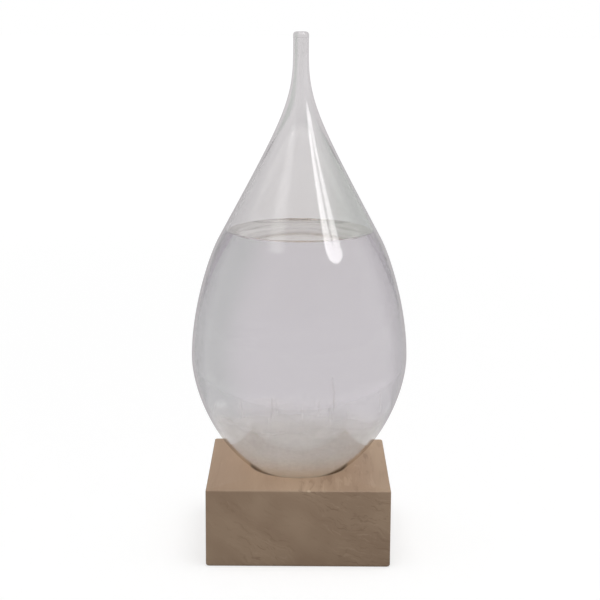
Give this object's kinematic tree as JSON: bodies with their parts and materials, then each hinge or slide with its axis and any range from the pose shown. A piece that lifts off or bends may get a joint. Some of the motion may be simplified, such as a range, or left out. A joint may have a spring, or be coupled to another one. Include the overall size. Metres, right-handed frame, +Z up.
{
  "type": "storm glass",
  "caption": "Sealed glass drop of clear weather solution with settled crystals, standing loose in a drilled square wood block; the drop lifts out.",
  "frame": {"origin": "centre of the wood block's underside", "axes": "+Z up along the glass drop's axis, +Y from the front of the block to its back, +X to the right seen from the front"},
  "size_m": [0.096, 0.096, 0.2282],
  "materials": {
    "pale_wood": "satin",
    "blown_glass": "polished",
    "solution": "gloss",
    "settled_crystals": "matte",
    "camphor_crystals": "satin"
  },
  "bodies": {
    "base": {"wood_base": "pale_wood"},
    "glass": {"glass_drop": "blown_glass", "tip_seal": "blown_glass"},
    "contents": {"storm_solution": "solution", "crystal_bed": "settled_crystals", "crystal_sprigs": "camphor_crystals"}
  },
  "joints": [
    {"name": "glass_lift", "type": "slide", "parent": "base", "child": "glass", "axis": [0, 0, 1], "range_m": [0, 0.04]},
    {"name": "contents_swirl", "type": "hinge", "parent": "glass", "child": "contents", "pos_m": [0, 0, 0.0852], "axis": [0, 0, 1], "continuous": true}
  ]
}
